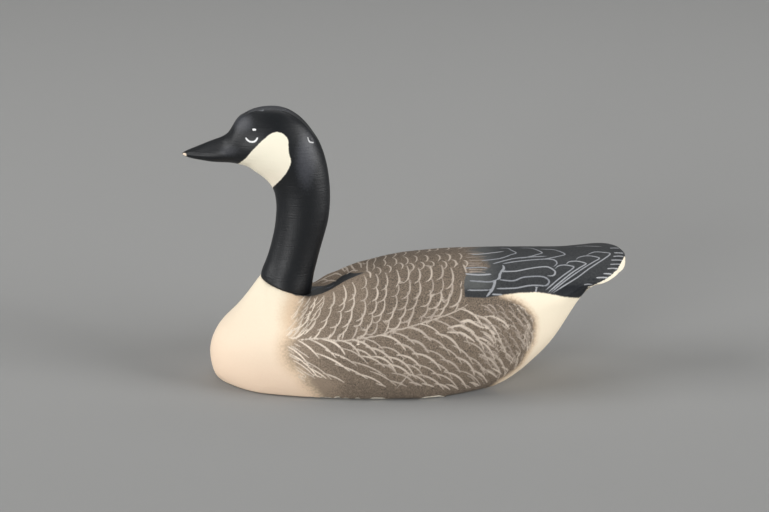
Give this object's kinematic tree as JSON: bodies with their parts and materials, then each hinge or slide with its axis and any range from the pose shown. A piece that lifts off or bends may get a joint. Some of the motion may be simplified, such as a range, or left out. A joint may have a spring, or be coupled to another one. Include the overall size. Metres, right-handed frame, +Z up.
{
  "type": "goose decoy",
  "caption": "Small carved and painted wooden goose decoy with a curved neck, raised head, folded wings, spread tail and a flat underside.",
  "frame": {"origin": "on the ground, under the middle of the bird's overall length and width", "axes": "+X from the bill towards the tail, +Y towards the bird's right side, +Z up"},
  "size_m": [0.1776, 0.069, 0.1125],
  "materials": {
    "painted_body": "matt oil paint: cream breast and rump, brown back and flanks with light feather strokes, black wings and tail with grey feather outlines",
    "painted_head": "matt black oil paint with a cream cheek patch"
  },
  "bodies": {
    "root": {"body": "painted_body", "head_and_neck": "painted_head"}
  },
  "joints": []
}
